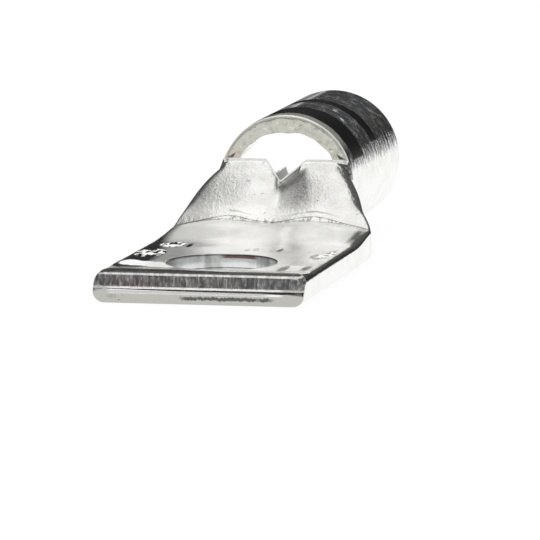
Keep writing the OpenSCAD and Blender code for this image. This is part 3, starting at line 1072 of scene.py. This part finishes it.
def plated_tin():
    """Bright tin with a soft mottle, brush lines, punched marks and two worn ink bands."""
    material, tree, end = start_material("plated_tin")
    at = Site(tree)
    wear = use(tree, HANDLING, {"Place": at.place, "Grain": 1.0})
    mottle = wear.out("Mottle")
    ink = ink_bands(at)
    scuffs, crease_shade = scuffs_and_crease_shade(at)
    painted_glint = painted_glints(at)
    ovals = either(*[oval(at.x, at.y, *sizes) for sizes in FLECKED])
    spots = ovals * flecks(at)
    # The ground between the flecks is painted dark, a painted dark reflection
    fleck_dark_reflection = (ovals - spots) * at.on_top * fall(at.z, 3.4, 3.6)
    satin = satin_palm(at, ovals)
    bars = either(*[between(at.x, x0, x1, 0.16) * between(at.y, y0, y1, 0.3) for x0, x1, y0, y1 in BARS])
    # Dark knocks, and painted shade either side of the bright facet
    knocks_and_shade = either(*[dome(at.x - knock_x, (at.y - knock_y) * (1 / KNOCK_AND_SHADE_DRAWN), half_w)
                      for knock_x, knock_y, half_w in KNOCKS_AND_SHADE])
    # The burr along the window's edge carries a thin line of painted shade
    burr_shade = between(at.y, Y_WINDOW - 0.13, Y_WINDOW + 0.03, 0.03) * rise(at.z, 5.5, 6.0)
    burr_shade = burr_shade * fall(at.radius, BARREL_R - 0.3, BARREL_R - 0.15)

    # Duller, bluer and hazy patches on the barrel, a warm dull strip next to the arch, and a painted
    # dark reflection down the barrel's upper left, dark colour standing in for what it mirrors
    clouds = noise(at.wrapped, 0.5, detail=4, rough=0.65, stretch=(1, 0.8, 1), offset=(2, 4, 6))
    haze = noise(at.wrapped, 0.9, detail=4, rough=0.7, offset=(7, 5, 1))
    dull = rise(clouds, 0.45, 0.65) * at.outside * between(at.degrees, 14.0, 120.0, 6.0)
    strip = between(at.y, Y_WINDOW + 0.1, STRIP_END, 0.25) * at.outside * rise(at.degrees, 26.0, 42.0)
    dark_reflection = at.outside * between(at.degrees, 97.0, 145.0, 6.0)
    hazy = rise(haze, 0.5, 0.64) * at.outside * rise(at.degrees, 20.0, 40.0)

    colour = layered(blend(rise(mottle, 0.35, 0.7), TIN, TIN_WARM), (
        (dull * 0.8, TIN_BLUE),
        (strip * 0.7, TIN_DULL),
        (dark_reflection * rise(clouds, 0.3, 0.7, 1.0, 0.7), TIN_DARK_REFLECTION),
        (crease_shade * 0.85, CREASE_SHADE_BLACK),
        (burr_shade * 0.9, BURR_SHADE_GREY),
        (ink, INK),
        (knocks_and_shade * at.on_top, KNOCK_AND_SHADE_BLACK),
        (fleck_dark_reflection * 0.75, TORN_AND_REFLECTION_BLACK),
        # The bore's inside is painted white, a painted light
        (at.inside, BORE_PAINTED_LIGHT),
        (painted_glint, PAINTED_GLINT_WHITE)))
    rough = (rise(mottle, 0.3, 0.75, 0.08, 0.14) + wear.out("Specks") * 0.2 + dull * 0.05
             + at.on_neck * 0.08 + strip * 0.12 + satin * 0.02)
    rough = rough * (1 - ink) + ink * 0.4
    rough = rough + at.inside * rise(at.z, 2.5, 4.5, 0.4, 0.0) + dark_reflection * 0.25
    # A frosted place scatters the light instead of mirroring it
    frosted = either(strip * 0.5, satin, at.inside * rise(at.z, 5.5, 5.8, 0.9, 0.0),
                     painted_glint * 0.8, hazy * 0.16, dark_reflection * 0.85)
    height = (wear.out("Height") + drawn_lines(at) + ink * 0.05
              - bars * at.on_top * BAR_DEPTH - scuffs * 0.45)
    # A vector mix has its two vectors at inputs 4 and 5 and its result at output 1
    plain = add(tree, "ShaderNodeNewGeometry").out("Normal")
    normals = {0: facets(at, spots), 4: plain, 5: FACET_NORMAL}
    leaning = add(tree, "ShaderNodeMix", normals, data_type="VECTOR").out(1)
    bump = add(tree, "ShaderNodeBump", {
        "Strength": 1.0, "Distance": BUMP_DEPTH, "Height": height, "Normal": leaning})
    feed(end, {"Surface": add(tree, "ShaderNodeBsdfPrincipled", {
        "Base Color": colour, "Roughness": rough, "Metallic": 1 - either(ink, frosted),
        "Specular IOR Level": 0.3, "Normal": bump})})
    return material


def sheared_front(at, front, streaks, fine, broad):
    """Mask of the front's upper ply, colours of the whole front and how frosted it is.

    The upper ply is dark and streaked, with copper tints on its left half, and the palm's rolled edge
    above it carries a band of painted shade. The lower ply has a torn band.
    """
    x, z = at.x, at.z
    upper = front * rise(z, SLIT_Z + 0.05, SLIT_Z + 0.3)
    lower = fall(z, SLIT_Z - 0.44, SLIT_Z - 0.36)
    ends = (1 - between(x, -8.9, 8.3, 0.4)) * fall(z, SLIT_Z + 0.2, SLIT_Z + 0.4)
    tint = between(x, -8.7, -3.8, 0.5) * rise(fine, 0.42, 0.55) * fall(z, 2.5, 2.65)
    x0, x1, z0, z1 = TORN_BAND
    torn = between(z + (fine - 0.5) * 0.4, z0, z1, 0.06) * between(x, x0, x1, 0.5) * rise(broad, 0.2, 0.35)
    x0, x1, z0, z1 = TORN_SPOTS
    spots = between(z, z0, z1, 0.2) * between(x, x0, x1, 0.9) * rise(fine, 0.45, 0.6) * 0.35
    layers = (
        (front * either(lower, ends) * 0.95, LOWER_GREY),
        (upper * rise(streaks, 0.36, 0.6) * 0.6, STREAK_GREY),
        (upper * tint * 0.45, COPPER),
        (front * either(torn, spots) * 0.85, TORN_AND_REFLECTION_BLACK),
        # Painted shade along the rolled top edge
        (front * rise(z, 2.88, 2.93) * 0.9, ROLL_SHADE_GREY))
    chatter = noise(at.place, 1.0, detail=4, rough=0.7, stretch=(4.5, 1.0, 1.6), offset=(2, 7, 4))
    lip = between(z, SLIT_Z - 0.36, SLIT_Z - 0.1, 0.04) * between(x, -9.0, 6.8, 0.6)
    rolled = between(z, 2.72, 2.86, 0.04)
    frosted = either(upper * rise(chatter, 0.45, 0.68) * 0.6, front * lip * 0.85, front * rolled * 0.8)
    return upper, layers, frosted


def sheared_arch(at, arch):
    """Colours of the arch's face: mottled, with dark torn corners and a painted highlight along its rim,
    and how frosted its rim is.
    """
    corner = (rise(abs(at.x) + at.z * TORN_UNDER, *around(TORN_TIP_X + TORN_UNDER * TORN_TIP_Z))
              * fall(at.z + abs(at.x) * TORN_OVER, *around(TORN_TIP_Z + TORN_OVER * TORN_TIP_X)))
    mottle = noise(at.place, 1.6, detail=4, rough=0.65, offset=(6, 1, 9))
    rim = arch * rise(at.radius, BARREL_R - 0.4, BARREL_R - 0.34) * rise(at.z, 8.6, 9.2)
    layers = (
        (arch, TIN_CUT),
        (arch * fall(at.x, -5.0, -4.0) * fall(at.z, 9.6, 11.2) * 0.5, COPPER_PINK),
        (arch * corner * rise(at.z, CUT_Z + 0.17, CUT_Z + 0.23) * 0.92, TORN_AND_REFLECTION_BLACK),
        (arch * rise(mottle, 0.5, 0.66, 0.0, 0.4), MOTTLE_GREY),
        (arch * rise(mottle, 0.36, 0.42, 0.35, 0.0), TIN),
        (rim * rise(at.radius, BARREL_R - 0.17, BARREL_R - 0.12) * 0.9, RIM_HIGHLIGHT_WHITE))
    return layers, rim * 0.85


def punched_hole(at, hole):
    """Colours of the stud hole's wall: broad pillars of grey and a strip of bare copper."""
    pillars = noise(at.place, 1.0, detail=2, stretch=(0.6, 0.1, 0.1), offset=(9, 0, 2))
    x0, x1, z0, z1 = COPPER_STRIP
    strip = between(at.x, x0, x1, 0.5) * between(at.z, z0, z1, 0.06) * rise(at.y, 4.0, 4.6)
    return ((hole * rise(at.x, -3.0, 4.0, 1.0, 0.35), HOLE_GREY),
            (hole * rise(pillars, 0.45, 0.6), PILLAR_GREY),
            (hole * strip * 0.9, COPPER_DARK))


def sheared_tin():
    """Cut faces: the streaked front, the mottled arch and the hole's punched wall."""
    material, tree, end = start_material("sheared_tin")
    at = Site(tree)
    wear = use(tree, HANDLING, {"Place": at.place, "Grain": 1.2})
    streaks = noise(at.place, 1.0, rough=0.6, stretch=(2.3, 0.8, 0.25))
    fine = noise(at.place, 1.0, rough=0.6, stretch=(5.0, 1.5, 1.0), offset=(4, 8, 6))
    broad = noise(at.place, 0.45, rough=0.55, offset=(4, 2, 6))
    front = fall(at.y, -7.6, -7.0)
    arch = rise(at.y, Y_WINDOW - 0.5, Y_WINDOW - 0.3) * fall(at.y, 30, 31)
    hole = between(at.y, -6.6, 6.6, 0.2)
    upper, front_layers, front_frosted = sheared_front(at, front, streaks, fine, broad)
    arch_layers, arch_frosted = sheared_arch(at, arch)
    colour = layered(blend(rise(broad, 0.35, 0.65, 0.0, 0.3), TIN, TIN_WARM),
                     front_layers + arch_layers + punched_hole(at, hole))
    height = (wear.out("Height") * 0.8 + streaks * (upper * 1.6 + hole * 0.3)
              + fine * (front * 0.25 + arch * 0.15))
    bump = add(tree, "ShaderNodeBump", {"Strength": 1.0, "Distance": BUMP_DEPTH, "Height": height})
    feed(end, {"Surface": add(tree, "ShaderNodeBsdfPrincipled", {
        "Base Color": colour, "Roughness": upper * 0.12 + hole * 0.1 + 0.16,
        "Metallic": 1 - either(front_frosted, arch_frosted), "Normal": bump})})
    return material


shell.data.materials.append(plated_tin())
shell.data.materials.append(sheared_tin())

# Studio: a pale floor, white surroundings, a soft light overhead and grey cards, which only the
# reflections in the tin see. Lengths are in metres.
FLOOR_HALF = 3.0
FLOOR_GREY, FLOOR_GLOW = 0.1, 0.92
LAMP_SIZE, LAMP_HEIGHT, LAMP_WATTS = 1.5, 1.2, 1.0
CARD_RADIUS = 0.9
# Each card: heights in degrees, headings in degrees from -Y towards +X, and its grey
CARDS = {
    "horizon": (0.0, 3.0, 0.0, 360.0, 0.1),
    "low_ring": (3.0, 14.0, 0.0, 360.0, 0.03),
    "middle_ring": (14.0, 30.0, 0.0, 360.0, 0.09),
    "right_card": (30.0, 66.0, -15.0, 172.0, 0.1),
    "left_card": (30.0, 49.0, 205.0, 345.0, 0.1),
    "left_high_card": (49.0, 57.0, 262.0, 345.0, 0.1),
    "lobe_card": (49.0, 63.0, 225.0, 262.0, 0.55),
    "flank_card": (63.0, 66.0, 225.0, 262.0, 0.15),
    "side_card": (57.0, 65.0, 262.0, 300.0, 0.15),
    "shoulder_card": (65.5, 71.5, 262.0, 300.0, 0.15),
    "neck_card": (71.5, 77.5, 262.0, 318.0, 0.42),
    "back_card": (30.0, 46.0, 172.0, 205.0, 0.3),
    "zenith_card": (80.0, 90.0, 0.0, 360.0, 0.9),
    "high_card": (70.0, 80.0, 130.0, 185.0, 0.8),
}
# Camera: heading right of the palm's axis, height and roll in degrees, what it looks at and
# from how far, in metres, and its lens
CAMERA_AZ, CAMERA_EL, CAMERA_ROLL = 13.957, 8.564, -0.707
CAMERA_TARGET = (0.004743, 0.0005, 0.002033)
CAMERA_DISTANCE = 0.5372
FOCAL_PIXELS, IMAGE_PIXELS, SENSOR = 5500.0, 540.0, 36.0


def seen_white(tree, shader, strength):
    """Adds a white glow that only the camera, reflections and glass see."""
    path = add(tree, "ShaderNodeLightPath")
    seen = either(*[path.out(f"Is {kind} Ray") for kind in ("Camera", "Glossy", "Transmission")])
    glow = add(tree, "ShaderNodeEmission", {"Color": (1, 1, 1, 1), "Strength": strength})
    both = add(tree, "ShaderNodeAddShader", {0: shader, 1: glow})
    return add(tree, "ShaderNodeMixShader", {0: seen, 1: shader, 2: both})


def floor():
    """Plain white floor, a little brighter to the eye than its light, that keeps the shadow."""
    mesh = bpy.data.meshes.new("studio_floor")
    h = FLOOR_HALF
    mesh.from_pydata([(-h, -h, 0), (h, -h, 0), (h, h, 0), (-h, h, 0)], [], [(0, 1, 2, 3)])
    material, tree, end = start_material("floor_white")
    matt = add(tree, "ShaderNodeBsdfDiffuse", {"Color": (FLOOR_GREY, FLOOR_GREY, FLOOR_GREY, 1)})
    feed(end, {"Surface": seen_white(tree, matt, FLOOR_GLOW)})
    mesh.materials.append(material)
    linked("studio_floor", mesh)


def card(name, low_deg, high_deg, from_deg, to_deg, grey):
    """Card bent round the set: a band of a ball between two heights and two headings."""
    turn = np.radians(np.linspace(from_deg, to_deg, 73))[None, :]
    tilt = np.radians(np.linspace(low_deg, high_deg, 9))[:, None]
    x, y, z = np.broadcast_arrays(np.sin(turn) * np.cos(tilt), -np.cos(turn) * np.cos(tilt), np.sin(tilt))
    points = CARD_RADIUS * np.stack([x, y, z], axis=-1).reshape(-1, 3)
    index = np.arange(x.size).reshape(x.shape)
    mesh = bpy.data.meshes.new(name)
    mesh.from_pydata(points.tolist(), [], grid_quads(index).reshape(-1, 4).tolist())
    material, tree, end = start_material(name)
    glow = add(tree, "ShaderNodeEmission", {"Color": (grey, grey, grey, 1), "Strength": 1.0})
    feed(end, {"Surface": glow})
    mesh.materials.append(material)
    made = linked(name, mesh)
    # The card only shapes reflections
    made.visible_camera = False
    made.visible_diffuse = False


def soft_light():
    """Square soft light straight overhead."""
    lamp = bpy.data.lights.new("overhead_soft", "AREA")
    lamp.size = LAMP_SIZE
    lamp.energy = LAMP_WATTS
    linked("overhead_soft", lamp).location = (0, 0, LAMP_HEIGHT)


def white_world():
    """White surroundings, the same for the camera, reflections and light."""
    world = bpy.data.worlds.new("studio_white")
    world.use_nodes = True
    feed(world.node_tree.nodes["Background"], {"Color": (1, 1, 1, 1), "Strength": 1.0})
    bpy.context.scene.world = world


def camera():
    """Camera on the photograph's line of sight, with a long lens and a slight roll."""
    az, el, roll = np.radians([CAMERA_AZ, CAMERA_EL, CAMERA_ROLL])
    ahead = np.array([-np.sin(az) * np.cos(el), np.cos(az) * np.cos(el), -np.sin(el)])
    right = np.cross(ahead, (0, 0, 1))
    right /= np.linalg.norm(right)
    above = np.cross(right, ahead)
    right, above = (np.cos(roll) * right + np.sin(roll) * above,
                    np.cos(roll) * above - np.sin(roll) * right)
    place = np.array(CAMERA_TARGET) - CAMERA_DISTANCE * ahead
    lens = bpy.data.cameras.new("photo_camera")
    lens.sensor_width = SENSOR
    lens.lens = FOCAL_PIXELS / IMAGE_PIXELS * SENSOR
    turned = Matrix((right, above, -ahead)).transposed().to_4x4()
    turned.translation = Vector(place)
    made = linked("photo_camera", lens)
    made.matrix_world = turned
    bpy.context.scene.camera = made


floor()
for card_name, sizes in CARDS.items():
    card(card_name, *sizes)
soft_light()
white_world()
camera()
bpy.context.scene.view_settings.view_transform = "Standard"
